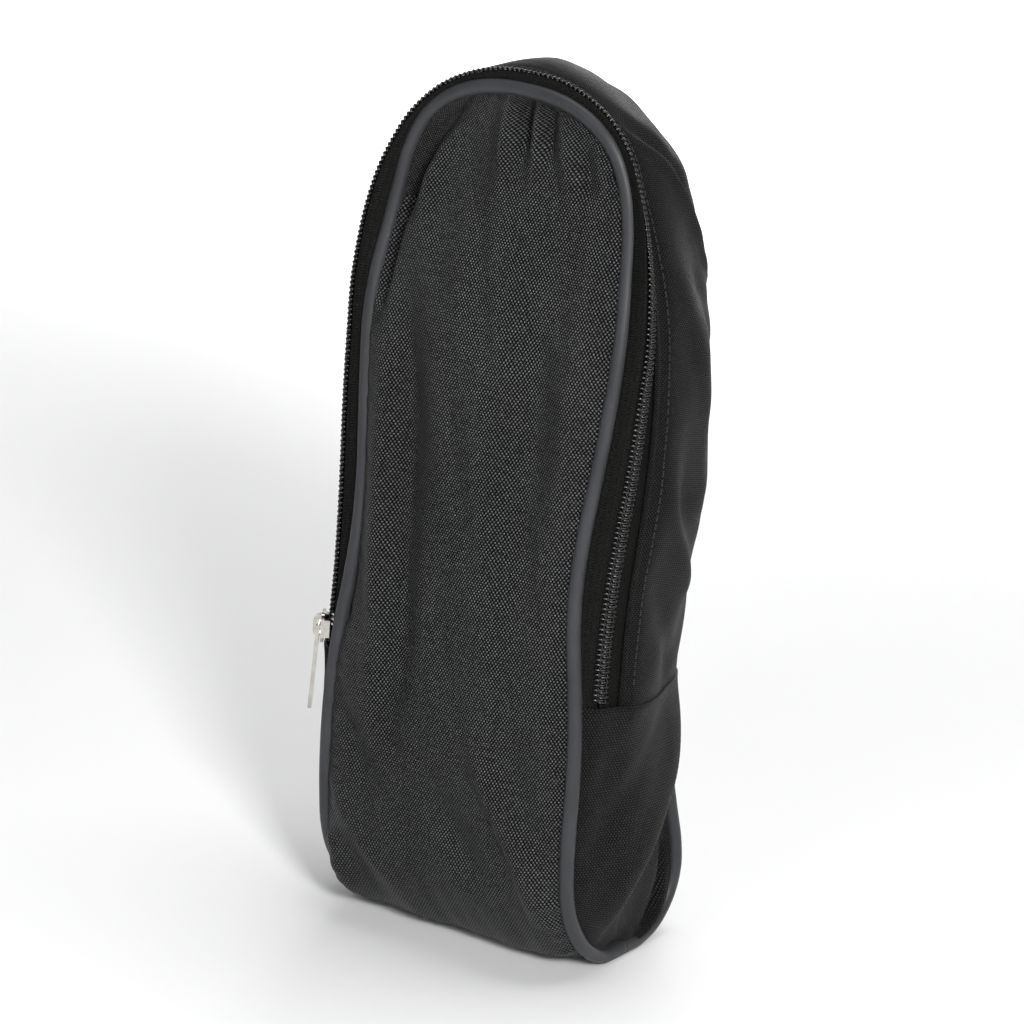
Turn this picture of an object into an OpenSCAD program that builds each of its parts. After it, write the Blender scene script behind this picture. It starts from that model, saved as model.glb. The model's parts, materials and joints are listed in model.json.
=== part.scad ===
// Golf shoe bag: arched front flap, zip all round it, wrap-under main panel and a gusset.
// Frame: +Z up, +X to the right as seen from the front, -Y is the front with the flap.
// The origin is at the middle of the base. Millimetres.

/* [Body] */
// Overall height, from the base to the crown of the gusset
bag_h = 350; // [320:1:390]
// Half of the overall width, at the widest line of the gusset
half_w = 70; // [69:0.5:74]
// Overall depth over the front and rear piping
depth = 98.6; // [94:0.2:110]
// Inward lean of both sides below the arch, in degrees
side_lean = 1.8; // [1.4:0.1:2]
// Thickness of the sewn cloth panels with their backing
cloth_t = 1.6; // [1.2:0.1:2]
// Height of the seam that closes both ends of the zip
zip_end_z = 112; // [104:1:116]
// Height of the line on which the front flap folds down
fold_z = 127.5; // [126:0.5:134]

/* [Piping] */
// Radius of the piping bead
bead_r = 2.8; // [2.2:0.1:3]
// Half distance between the front piping beads at the foot of the arch
front_w = 56; // [54:0.2:56.4]
// Half distance between the beads under the base
base_w = 55.2; // [53:0.2:56]
// Half distance between the rear piping beads at the foot of the arch
rear_w = 53; // [50:0.5:55]

/* [Zip] */
// Turn of the zip plane from the front face towards the side, in degrees
zip_turn = 60; // [57:1:62]
// Distance of the zip's middle line from the middle of the bag at the foot of the arch
zip_w = 65.5; // [65.2:0.1:65.8]

/* [Slider and pull] */
// Length of the slider
slider_l = 12; // [11:0.5:14]
// Width of the slider
slider_w = 11.2; // [11:0.1:11.4]
// Length of the pull tab from its pivot to its tip
pull_l = 34; // [24:1:36]
// Width of the pull tab
pull_w = 7; // [6.6:0.2:9]

/* [Hidden] */
$fn = 48;
gap = 0.3;
cord_sides = 10;

// centre of the arch, on which the gusset, the zip and both piped seams turn
arch_z = bag_h - half_w;
front_y = -depth / 2 + bead_r;
rear_y = depth / 2 - bead_r;
// the back stands a little further forward above the base
rear_top_y = rear_y - 3.5;
waist_z = 90;
reach = 3 * half_w;

// base curve of both ends of the gusset: an ellipse in front, a flat, a circle behind
nose_a = 34;
nose_b = 60;
nose_y = front_y + nose_a;
nose_z = nose_b + bead_r;
heel_r = 24;
heel_y = rear_y - heel_r;
heel_z = heel_r + bead_r;
base_split_y = (nose_y + heel_y) / 2;

// zip section: u runs across the zip from the front tape to the rear tape, v stands out of it
zip_y = -42;
tape_t = 0.8;
slot_u = 0.9;
coil_u = 3.4;
coil_v = [0.5, 3.0];
front_tape_u = 5.9;
rear_tape_u = 7;
hem_u = 7.9;

// slider section, in the same u and v
top_wing_v = [3.4, 4.5];
low_wing_v = [-1.9, -0.8];
wing_r = 2.6;
lip_u = 4.1;
lip_v = 1.0;
lip_end = 2.5;
post_u = 0.6;
post_l = 5;
slider_z = zip_end_z + slider_l / 2 + 0.6;
slider_drop = (arch_z - zip_w * sin(side_lean) - slider_z) / cos(side_lean);

// bridge of the slider and the pull that hangs on it
bridge_l = 9;
bridge_w = 3;
bridge_t = 1.7;
bridge_v = 7.8;
bridge_r = 2.8;
pivot_v = 5.7;
pin_r = 0.8;
pull_t = 1.4;
pull_eye = 6.2;
pull_corner_r = 2.4;
pull_lean = 2.5;
cheek_gap = 0.35;

stitch_pitch = 3.6;
stitch_l = 2.6;
stitch_r = 0.3;
stitch_y = -33.5;

// ---------- helpers ----------

// half-width at height z of a seam that has radius w on the arch
function half_at(w, z) = w / cos(side_lean) - (arch_z - z) * tan(side_lean);

// a point of the zip section as [distance from the middle, depth]
function zip_point(u, v) = [
    zip_w + u * cos(zip_turn) + v * sin(zip_turn),
    zip_y + u * sin(zip_turn) - v * cos(zip_turn)
];

// a rectangle of the zip section
module zip_block(u0, u1, v0, v1)
    polygon([zip_point(u0, v0), zip_point(u1, v0), zip_point(u1, v1), zip_point(u0, v1)]);

function reversed(points) = [for (i = [len(points) - 1 : -1 : 0]) points[i]];

// the points of a section line moved by t towards the inside of the bag
function inward(points, t) = [
    for (i = [0 : len(points) - 1])
        let (
            a = points[max(i - 1, 0)],
            b = points[min(i + 1, len(points) - 1)],
            d = (b - a) / norm(b - a)
        )
        points[i] + t * [-d[1], d[0]]
];

module strip(line, t) polygon(concat(line, reversed(inward(line, t))));

// sweeps a [distance, depth] section down the leaning right side, between two heights
module side(z0, z1)
    intersection() {
        translate([0, 0, arch_z])
            rotate([0, side_lean, 0])
                translate([0, 0, -reach])
                    linear_extrude(reach)
                        children();
        translate([0, -depth, z0]) cube([reach, 2 * depth, z1 - z0]);
    }

module on_both_sides()
    for (side = [0, 1])
        mirror([side, 0, 0])
            children();

// sweeps the section up both sides and over the arch
module arch(z0)
    on_both_sides() {
        side(z0, arch_z + 1) children();
        translate([0, 0, arch_z])
            rotate([90, 0, 0])
                rotate([0, 0, -side_lean])
                    rotate_extrude(angle = 90 + side_lean, $fn = 96)
                        mirror([0, 1, 0])
                            children();
    }

// a flat panel with an arched top, from z0 up and from y0 back
module arched_plate(w, z0, y0, t)
    translate([0, y0 + t, 0])
        rotate([90, 0, 0])
            linear_extrude(t)
                union() {
                    foot = half_at(w, z0);
                    shoulder = [w * cos(side_lean), arch_z - w * sin(side_lean)];
                    polygon([[-foot, z0], [foot, z0], shoulder, [-shoulder[0], shoulder[1]]]);
                    translate([0, arch_z]) circle(r = w, $fn = 96);
                }

// the front and the rear round of the base, as [depth, height] points grown outwards by d
function nose_curve(d) = [
    for (i = [0 : 12]) let (a = 180 + 90 * i / 12)
        [nose_y + (nose_a + d) * cos(a), nose_z + (nose_b + d) * sin(a)]
];
function heel_curve(d) = [
    for (i = [0 : 8]) let (a = 270 + 90 * i / 8)
        [heel_y + (heel_r + d) * cos(a), heel_z + (heel_r + d) * sin(a)]
];

// extrudes a [depth, height] outline across the bag from x0 to x1
module across(x0, x1)
    translate([x0, 0, 0])
        rotate([90, 0, 90])
            linear_extrude(x1 - x0)
                children();

// keeps what lies between the beads: rows are [half-width, height] from the top down
module between_beads(rows)
    intersection() {
        children();
        translate([0, depth, 0])
            rotate([90, 0, 0])
                linear_extrude(2 * depth)
                    polygon(concat(rows, reversed([for (p = rows) [-p[0], p[1]]])));
    }

// ---------- seam lines ----------

// right-hand bead from the fold down the front: [half-width, height]
front_drop = [
    [half_at(front_w, fold_z), fold_z],
    [base_w - 2, 114],
    [base_w - 0.4, 98],
    [base_w, nose_z]
];
// the same bead from the heel up to where the back starts to lean
rear_rise = [[base_w, heel_z], [base_w - 3, 60], [half_at(rear_w, waist_z), waist_z]];

panel_inset = bead_r + gap;
function inset_rows(rows) = [for (p = rows) [p[0] - panel_inset, p[1]]];

// ---------- main panel: front flap, lower front and base, back ----------

module front_flap_panel()
    color([0.09, 0.09, 0.1])
        arched_plate(front_w - panel_inset, fold_z + gap, -depth / 2, cloth_t);

module front_base_panel()
    color([0.09, 0.09, 0.1])
        between_beads(concat(inset_rows(front_drop), [[base_w - panel_inset, -1]]))
            across(-half_w, half_w)
                polygon(concat(
                    [[-depth / 2, fold_z]],
                    nose_curve(bead_r),
                    [[base_split_y, 0], [base_split_y, cloth_t]],
                    reversed(nose_curve(bead_r - cloth_t)),
                    [[-depth / 2 + cloth_t, fold_z]]
                ));

module back_panel()
    color([0.09, 0.09, 0.1]) {
        back_y = rear_top_y + bead_r;
        between_beads(concat(
            reversed(inset_rows(rear_rise)),
            [[base_w - panel_inset, -1]]
        ))
            across(-half_w, half_w)
                polygon(concat(
                    [[base_split_y + gap, 0]],
                    heel_curve(bead_r),
                    [[back_y, waist_z], [back_y - cloth_t, waist_z]],
                    reversed(heel_curve(bead_r - cloth_t)),
                    [[base_split_y + gap, cloth_t]]
                ));
        arched_plate(rear_w - panel_inset, waist_z, back_y - cloth_t, cloth_t);
    }

// ---------- gusset: the long strip over the top, and an end below each zip end ----------

// outer line of the strip's section, from the hem beside the zip to the rear piping
gusset_line = [
    zip_point(hem_u, 0.4),
    [half_w, -26],
    [68.5, -4],
    [64, 18],
    [rear_w + 2.6, rear_top_y - 2.6]
];

module gusset_strip()
    color([0.1, 0.1, 0.1])
        arch(zip_end_z) strip(gusset_line, cloth_t);

end_rim_x = base_w - 1;
end_bulge_x = half_w - 4;
end_top = zip_end_z - gap;
end_flat = [[-26, 48], [8, end_top]];

// outline of one end of the gusset inside the piping, as [depth, height]
module end_outline(inset)
    polygon(concat(
        [[front_y + inset, end_top]],
        nose_curve(-inset),
        heel_curve(-inset),
        [[rear_top_y - inset, waist_z], [rear_top_y - inset, end_top]]
    ));

// solid from the seam plane out to the bulge of the side
module end_dish(rim_x, bulge_x, inset)
    hull() {
        across(rim_x, rim_x + 0.5) end_outline(inset);
        across(bulge_x - 0.5, bulge_x)
            translate(end_flat[0]) square(end_flat[1] - end_flat[0]);
    }

module gusset_end()
    difference() {
        end_dish(end_rim_x, end_bulge_x, panel_inset);
        end_dish(end_rim_x - 1, end_bulge_x - cloth_t, panel_inset + cloth_t);
    }

module gusset_end_left()
    color([0.1, 0.1, 0.1]) mirror([1, 0, 0]) gusset_end();

module gusset_end_right()
    color([0.1, 0.1, 0.1]) gusset_end();

// ---------- piping ----------

// right-hand bead from the fold, under the base and up the back to the crown
bead_line = concat(
    [[front_drop[0][0], front_y, fold_z - 1]],
    [for (i = [1 : len(front_drop) - 1]) [front_drop[i][0], front_y, front_drop[i][1]]],
    [for (p = nose_curve(0)) [base_w, p[0], p[1]]],
    [for (p = heel_curve(0)) [base_w, p[0], p[1]]],
    [[rear_rise[1][0], rear_y - 1.6, rear_rise[1][1]]],
    [for (z = [waist_z, 180]) [half_at(rear_w, z), rear_top_y, z]],
    [for (i = [0 : 15]) let (a = -side_lean + (90 + side_lean) * i / 15)
        [rear_w * cos(a), rear_top_y, arch_z + rear_w * sin(a)]]
);
// both beads as one line, joined at the crown
bead_loop = concat(
    [for (p = bead_line) [-p[0], p[1], p[2]]],
    reversed([for (i = [0 : len(bead_line) - 2]) bead_line[i]])
);

function unit(v) = v / norm(v);
function tangent(line, i) =
    unit(line[min(i + 1, len(line) - 1)] - line[max(i - 1, 0)]);

// a ring of points round the line, square to it, turned to the middle of the bag
function ring(line, i, r, sides) =
    let (
        e = unit(cross(tangent(line, i), line[i] - [0, 0, bag_h / 2])),
        f = cross(tangent(line, i), e)
    )
    [for (k = [0 : sides - 1]) let (a = 360 * (k + 0.5) / sides)
        line[i] + r * (cos(a) * e + sin(a) * f)];

// closed tube along a line
module tube(line, r, sides) {
    n = len(line);
    points = [for (i = [0 : n - 1]) each ring(line, i, r, sides)];
    skin = [for (i = [0 : n - 2]) for (k = [0 : sides - 1])
        let (a = i * sides + k, b = i * sides + (k + 1) % sides)
        each [[a, a + sides, b], [b, a + sides, b + sides]]];
    caps = [
        [for (k = [0 : sides - 1]) k],
        [for (k = [sides - 1 : -1 : 0]) (n - 1) * sides + k]
    ];
    polyhedron(points, concat(skin, caps), convexity = 8);
}

module piping_flap()
    color([0.3, 0.3, 0.32])
        arch(fold_z + gap)
            translate([front_w, front_y]) circle(r = bead_r - 0.05);

module piping_body()
    color([0.3, 0.3, 0.32])
        tube(bead_loop, bead_r, cord_sides);

// ---------- bound seam allowances, inside the bag ----------

binding_w = 7;
binding_t = 1.8;
front_binding_turn = 115;
rear_binding_turn = 225;

module binding_section(w, y, turn)
    translate([w, y])
        rotate(turn)
            translate([panel_inset, -binding_t / 2])
                square([binding_w, binding_t]);

module seam_binding_flap()
    color([0.12, 0.12, 0.12])
        arch(fold_z + gap) binding_section(front_w, front_y, front_binding_turn);

module seam_binding_back()
    color([0.12, 0.12, 0.12])
        arch(zip_end_z) binding_section(rear_w, rear_top_y, rear_binding_turn);

// ---------- zip ----------

front_tape_line = [
    [front_w + bead_r + gap, front_y],
    zip_point(-front_tape_u, tape_t / 2),
    zip_point(-slot_u, tape_t / 2)
];

module front_coil_section() zip_block(-coil_u, -slot_u, coil_v[0], coil_v[1]);

module zip_tape_front()
    color([0.08, 0.08, 0.08])
        arch(fold_z + gap) strip(front_tape_line, tape_t);

module zip_tape_front_ends()
    color([0.08, 0.08, 0.08])
        on_both_sides()
            side(zip_end_z, fold_z)
                strip([front_tape_line[1], front_tape_line[2]], tape_t);

module zip_tape_rear()
    color([0.08, 0.08, 0.08])
        arch(zip_end_z) zip_block(slot_u, rear_tape_u, -tape_t / 2, tape_t / 2);

module zip_coil_front()
    color([0.05, 0.05, 0.05])
        arch(fold_z + gap) front_coil_section();

module zip_coil_front_ends()
    color([0.05, 0.05, 0.05])
        on_both_sides()
            side(zip_end_z, fold_z)
                front_coil_section();

module zip_coil_rear()
    color([0.05, 0.05, 0.05])
        arch(zip_end_z) zip_block(slot_u, coil_u, coil_v[0], coil_v[1]);

// stitches of thread beside the hem, each standing on the cloth and lying along the zip
hem_x = zip_point(hem_u, 0.4)[0];
stitch_w = hem_x + (half_w - hem_x) * 0.5 + stitch_r;
side_stitches = floor((slider_drop + slider_l / 2) / stitch_pitch);
arch_stitches = floor(PI * stitch_w / stitch_pitch);

module zip_topstitch()
    color([0.07, 0.07, 0.07])
        translate([0, stitch_y, arch_z]) {
            on_both_sides()
                for (i = [1 : side_stitches])
                    rotate([0, side_lean, 0])
                        translate([stitch_w, 0, -i * stitch_pitch])
                            cylinder(r = stitch_r, h = stitch_l, $fn = 6);
            for (i = [0 : arch_stitches - 1])
                rotate([0, -180 * (i + 0.5) / arch_stitches, 0])
                    translate([stitch_w, 0, -stitch_l / 2])
                        cylinder(r = stitch_r, h = stitch_l, $fn = 6);
        }

// ---------- slider and pull, on the left side ----------

// places blocks on the left zip: X is u, Y runs up the zip and Z is v
module on_left_zip()
    mirror([1, 0, 0])
        translate([0, 0, arch_z])
            rotate([0, side_lean, 0])
                translate([zip_w, zip_y, -slider_drop])
                    rotate([0, 0, zip_turn])
                        rotate([90, 0, 0])
                            children();

// a flat plate with rounded corners, centred, from v[0] to v[1]
module wing(v)
    translate([0, 0, v[0]])
        linear_extrude(v[1] - v[0])
            union() {
                square([slider_w - 2 * wing_r, slider_l], center = true);
                square([slider_w, slider_l - 2 * wing_r], center = true);
                for (x = [-1, 1], y = [-1, 1])
                    translate([x * (slider_w / 2 - wing_r), y * (slider_l / 2 - wing_r)])
                        circle(r = wing_r);
            }

module slider_body()
    color([0.8, 0.78, 0.74])
        on_left_zip() {
            wing(top_wing_v);
            wing(low_wing_v);
            for (x = [lip_u, -slider_w / 2])
                translate([x, -slider_l / 2 + lip_end, lip_v])
                    cube([slider_w / 2 - lip_u, slider_l - 2 * lip_end, top_wing_v[0] - lip_v]);
            translate([-post_u, slider_l / 2 - 0.6 - post_l, low_wing_v[1]])
                cube([2 * post_u, post_l, top_wing_v[0] - low_wing_v[1]]);
        }

// side view of the bridge between two levels: square foot and round shoulders
module bridge_side(v0, v1, l, r)
    intersection() {
        union() {
            translate([v0, -l / 2]) square([v1 - v0 - r, l]);
            translate([v0, -l / 2 + r]) square([v1 - v0, l - 2 * r]);
            for (y = [-1, 1])
                translate([v1 - r, y * (l / 2 - r)]) circle(r = r);
        }
        translate([v0, -l / 2]) square([v1 - v0, l]);
    }

// arch over the slider in which the pull's pin turns
module slider_bridge()
    color([0.8, 0.78, 0.74])
        on_left_zip()
            rotate([0, -90, 0])
                translate([0, 0, -bridge_w / 2])
                    linear_extrude(bridge_w)
                        difference() {
                            bridge_side(top_wing_v[1], bridge_v, bridge_l, bridge_r);
                            bridge_side(
                                top_wing_v[1] - 2, bridge_v - bridge_t * 0.7,
                                bridge_l - 2 * bridge_t, bridge_r - bridge_t * 0.5
                            );
                        }

module pull_plate()
    translate([0, 0, -pull_t / 2])
        linear_extrude(pull_t)
            difference() {
                union() {
                    translate([-pull_w / 2, -pull_l + pull_corner_r])
                        square([pull_w, pull_l - pull_corner_r]);
                    translate([-pull_w / 2 + pull_corner_r, -pull_l])
                        square([pull_w - 2 * pull_corner_r, pull_corner_r]);
                    for (x = [-1, 1])
                        translate([x * (pull_w / 2 - pull_corner_r), -pull_l + pull_corner_r])
                            circle(r = pull_corner_r);
                }
                translate([-bridge_w / 2 - cheek_gap, -pull_eye])
                    square([bridge_w + 2 * cheek_gap, pull_eye + 1]);
            }

// tab with an open eye, closed by the pin on which it swings
module pull_tab()
    color([0.82, 0.8, 0.75])
        on_left_zip()
            translate([0, 0, pivot_v])
                rotate([-pull_lean, 0, 0])
                    union() {
                        pull_plate();
                        rotate([0, 90, 0])
                            cylinder(r = pin_r, h = pull_w, center = true, $fn = 32);
                    }

front_flap_panel();
front_base_panel();
back_panel();
gusset_strip();
gusset_end_left();
gusset_end_right();
piping_flap();
piping_body();
seam_binding_flap();
seam_binding_back();
zip_tape_front();
zip_tape_front_ends();
zip_tape_rear();
zip_coil_front();
zip_coil_front_ends();
zip_coil_rear();
zip_topstitch();
slider_body();
slider_bridge();
pull_tab();
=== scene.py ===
"""Golf shoe bag: cloth panels, piping, zip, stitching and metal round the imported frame.

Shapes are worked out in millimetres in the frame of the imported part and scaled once, when a mesh is made.
The bag stands with its flap towards -Y. Lines named FRONT, REAR and ZIP are the right-hand halves of the
seams, and the left-hand halves mirror them.
"""
import json
import math

import bmesh
import bpy
import numpy as np
from mathutils import Matrix, Vector


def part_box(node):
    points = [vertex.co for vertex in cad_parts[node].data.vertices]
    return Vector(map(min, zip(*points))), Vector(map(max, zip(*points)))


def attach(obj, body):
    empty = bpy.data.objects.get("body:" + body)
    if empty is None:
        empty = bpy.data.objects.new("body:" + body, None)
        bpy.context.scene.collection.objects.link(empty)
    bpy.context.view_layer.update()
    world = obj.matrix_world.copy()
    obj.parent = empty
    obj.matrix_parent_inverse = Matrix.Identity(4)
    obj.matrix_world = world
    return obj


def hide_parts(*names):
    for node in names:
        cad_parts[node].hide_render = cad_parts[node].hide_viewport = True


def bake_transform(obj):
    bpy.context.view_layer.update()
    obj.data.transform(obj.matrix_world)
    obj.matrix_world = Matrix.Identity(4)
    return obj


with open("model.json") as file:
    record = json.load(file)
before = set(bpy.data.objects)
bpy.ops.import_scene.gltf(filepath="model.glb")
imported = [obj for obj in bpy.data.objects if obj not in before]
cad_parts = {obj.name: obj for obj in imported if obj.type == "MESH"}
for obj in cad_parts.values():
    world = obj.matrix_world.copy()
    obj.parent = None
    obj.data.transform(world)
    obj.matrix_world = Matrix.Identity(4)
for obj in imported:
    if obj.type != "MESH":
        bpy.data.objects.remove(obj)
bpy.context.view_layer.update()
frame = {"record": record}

MM = 0.001
JOINTS = {j["name"]: j for j in frame["record"]["behaviour"]["joints"]}
_, FOLD_Y, FOLD_Z = np.array(JOINTS["flap_fold"]["pos_m"]) / MM
# height of the seams that close the zip at both ends
ZIP_END_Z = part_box("gusset_strip")[0][2] / MM

# stretches of height round the fold of the flap, passed with the cloth, the piping and the zip that cross it
CLOTH_BEND = (FOLD_Z - 11, FOLD_Z + 11)
PIPING_BEND = (FOLD_Z - 8, FOLD_Z + 8)
ZIP_BEND = (FOLD_Z - 0.5, FOLD_Z + 12)

# sizes of the sewn pieces, in millimetres
BEAD_R = 2.95
CLOTH_T = 1.1
TAPE_T = 0.7
BINDING_T = 0.4
# distance between two loops in one row of the zip's coil
TOOTH_PITCH = 2.0
# the right lower gusset piece is sewn this much higher over the zip than the left one
END_LAP = 5.5
# width of the gusset strip's flat cut
GUSSET_SPAN = 80.0
# size of a lower gusset piece laid flat, on which its folds are placed
END_FLAT_W = 90
END_FLAT_L = 110
# a wavelength so long that the wave doesn't change in that direction
ENDLESS = 1e9
# takes a point to its place on the other half of the bag
MIRROR_X = np.array([-1, 1, 1])
# a point well inside the bag, to tell outwards from inwards
BAG_HEART = np.array([0, 0, 200.0])

# ------------------------------------------------------------------ seam lines (half width, depth, height)

# front seam from the crown down the right side and under to the middle of the base
FRONT = [
    (0, -40.5, 341.5), (13, -40.5, 340.6), (24, -40.4, 337.6), (34, -40.2, 332), (42, -40, 323.5),
    (47.4, -39.8, 311), (50.2, -40, 297), (52, -41.5, 282), (54, -44, 264), (54.4, -45.8, 245),
    (53, -46.3, 223), (51.2, -46.8, 203), (49.4, -47.5, 183), (48.9, -48.3, 163), (50.3, -48.6, 143),
    (53, -48.2, 123), (55, -47.4, 103), (55.7, -46.4, 83), (55.6, -45.3, 66), (55.4, -43.6, 52),
    (55.3, -41, 39), (55.3, -35.5, 27), (55.3, -26.5, 16), (55.3, -17, 8.6), (55.3, -8, 4.2),
    (55.3, 0, 3.1), (55.3, 8, 3),
]
# rear seam from the crown down to the middle of the base
REAR = [
    (0, 29, 326), (10, 28.7, 323.5), (18.5, 29, 317.5), (27, 29.5, 308), (34, 30.5, 295), (39, 31.5, 279),
    (42.3, 32.8, 259), (44.6, 34.2, 238), (46, 36, 216), (46.8, 37.3, 194), (47, 37.6, 173),
    (46.6, 36.4, 145), (46.8, 35.2, 118), (47.8, 35.2, 95), (50, 37.5, 73), (52.6, 41.2, 54),
    (54.5, 44.8, 39), (55.3, 46, 27), (55.3, 42.8, 15.5), (55.3, 34, 6.8), (55.3, 22, 3.1), (55.3, 8, 3),
]
# middle line of the zip from the crown to below the seam that closes it
ZIP = [
    (0, -37, 346.2), (14, -37, 345.1), (27, -37.3, 340.8), (38, -38, 334), (47.5, -39.2, 323.5),
    (54, -40.3, 311), (58.6, -41.1, 298.5), (62.2, -41.7, 282), (64.3, -42, 262), (64.6, -42, 250),
    (64.25, -42, 238.5), (63.7, -42, 220), (62.9, -42, 203), (61.5, -42.2, 183), (60.4, -42.4, 163),
    (60, -42.2, 143), (60.25, -42, 127), (60.46, -42, 118.6), (60.8, -42, 110), (61.2, -42, 102),
]
# turn of the zip's face from the front towards the side, from the left end over the crown to the right end
ZIP_TURN = [
    (0, 60), (0.235, 60), (0.32, 68), (0.40, 85), (0.45, 97), (0.5, 112), (0.56, 130), (0.62, 138),
    (0.66, 126), (0.7, 106), (0.77, 84), (0.863, 64), (1, 60),
]
# distance of the gusset's folded hem from the zip's middle line, over the same run
HEM_U = [(0, 8.4), (0.22, 8.4), (0.32, 5.2), (0.68, 5.0), (0.73, 6.4), (0.77, 8.2), (1, 8.4)]
# section of the folded hem from its underside round to the strip: (to the rear, outwards)
HEM_FOLD = [(1.6, -0.9), (0.5, -0.6), (0.0, 0.1), (0.15, 0.9), (0.9, 1.35), (2.0, 1.3)]


class Line:
    """A smooth line through a few points, as an even polyline that can be asked for any place along it."""

    def __init__(self, points, step=1.0):
        p = np.array(points, float)
        # the line starts at the crown, where its other half mirrors it
        p = np.vstack([p[1] * MIRROR_X, p, 2 * p[-1] - p[-2]])
        t = np.linspace(0, 1, 24, endpoint=False)[:, None]
        runs = []
        for a, b, c, d in zip(p[:-3], p[1:-2], p[2:-1], p[3:]):
            runs.append(0.5 * (2 * b + (c - a) * t + (2 * a - 5 * b + 4 * c - d) * t**2
                               + (3 * b - a - 3 * c + d) * t**3))
        dense = np.vstack(runs + [p[-2:-1]])
        s = arc_length(dense)
        self.length = s[-1]
        self.s = np.linspace(0, self.length, int(self.length / step) + 1)
        self.p = np.stack([np.interp(self.s, s, dense[:, k]) for k in range(3)], axis=1)

    def at(self, s):
        return np.stack([np.interp(s, self.s, self.p[:, k]) for k in range(3)], axis=-1)

    def where_z(self, z):
        """Distance along the line at which it first comes down to a height."""
        return self.s[np.argmax(self.p[:, 2] <= z)]


def arc_length(p):
    return np.concatenate([[0], np.cumsum(np.linalg.norm(np.diff(p, axis=0), axis=1))])


def unit(v):
    return v / np.maximum(np.linalg.norm(v, axis=-1, keepdims=True), 1e-9)


def smoothstep(x, low, high):
    t = np.clip((x - low) / (high - low), 0, 1)
    return t * t * (3 - 2 * t)


def smoothed(values, width):
    """Running average of each column of values, over a soft window with an odd width."""
    kernel = np.hanning(width)
    kernel /= kernel.sum()
    half = width // 2
    padded = np.pad(values, ((half, half), (0, 0)), mode="edge")
    return np.stack([np.convolve(column, kernel, mode="valid") for column in padded.T], axis=1)


def from_pairs(pairs, x):
    """Smooth value of a listed profile at x."""
    xs, ys = zip(*pairs)
    fine = np.linspace(xs[0], xs[-1], 201)
    return np.interp(x, fine, smoothed(np.interp(fine, xs, ys)[:, None], 13)[:, 0])


front = Line(FRONT)
rear = Line(REAR)
zip_half = Line(ZIP)

# the length of each half that lies above the seam that closes the zip
front_top = front.where_z(ZIP_END_Z)
rear_top = rear.where_z(ZIP_END_Z)
zip_top = zip_half.where_z(ZIP_END_Z)


def over_top(line, top, f):
    """Point on both halves of a line: f runs from the left end (0) over the crown to the right end (1)."""
    side = np.sign(f - 0.5)
    p = line.at(np.abs(2 * f - 1) * top)
    p[..., 0] *= side
    return p


def zip_frame(f):
    """Middle of the zip and its axes at f: along, across to the rear (u) and outwards (v).

    On the right shoulder the zip is pulled in by up to 2 mm towards the heart of the arch."""
    f = np.asarray(f, float)
    step = 0.002
    arch_heart = np.array([0, 0, 285])
    centre = over_top(zip_half, zip_top, f)
    pulled_in = 2.0 * np.exp(-((f - 0.63) / 0.075) ** 2)
    from_heart = unit(centre * np.array([1, 0, 1]) - arch_heart)
    centre = centre - from_heart * pulled_in[..., None]
    along = unit(over_top(zip_half, zip_top, f + step) - over_top(zip_half, zip_top, f - step))
    depth = np.array([0.0, 1.0, 0.0])
    outward = unit(np.cross(along, depth))
    back = unit(depth - along * (along @ depth)[..., None])
    turn = np.radians(from_pairs(ZIP_TURN, np.clip(f, 0, 1)))[..., None]
    u = np.cos(turn) * outward + np.sin(turn) * back
    v = np.sin(turn) * outward - np.cos(turn) * back
    return centre, along, u, v


# ------------------------------------------------------------------ mesh makers

def is_inside_out(mesh):
    """True if the faces of a closed mesh look inwards."""
    shape = bmesh.new()
    shape.from_mesh(mesh)
    volume = shape.calc_volume(signed=True)
    shape.free()
    return volume < 0


def add_mesh(name, verts, faces, uv=None, closed=True):
    """Object from points in millimetres; uv is one pair per point, in millimetres of cloth."""
    mesh = bpy.data.meshes.new(name)
    mesh.from_pydata((np.asarray(verts) * MM).tolist(), [], [list(map(int, f)) for f in faces])
    mesh.update()
    if closed and is_inside_out(mesh):
        mesh.flip_normals()
    mesh.polygons.foreach_set("use_smooth", [True] * len(mesh.polygons))
    if uv is not None:
        layer = mesh.uv_layers.new(name="cloth")
        loops = np.zeros(len(mesh.loops), int)
        mesh.loops.foreach_get("vertex_index", loops)
        layer.data.foreach_set("uv", np.asarray(uv, float)[loops].ravel())
    obj = bpy.data.objects.new(name, mesh)
    bpy.context.scene.collection.objects.link(obj)
    return obj


def grid_normals(p):
    along = np.gradient(p, axis=0)
    across = np.gradient(p, axis=1)
    return unit(np.cross(along, across))


def grid_faces(rows, cols, start=0, flip=False):
    i = np.arange(rows - 1)[:, None] * cols + np.arange(cols - 1)[None, :] + start
    quads = np.stack([i, i + cols, i + cols + 1, i + 1], axis=-1).reshape(-1, 4)
    return quads[:, ::-1] if flip else quads


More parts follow.
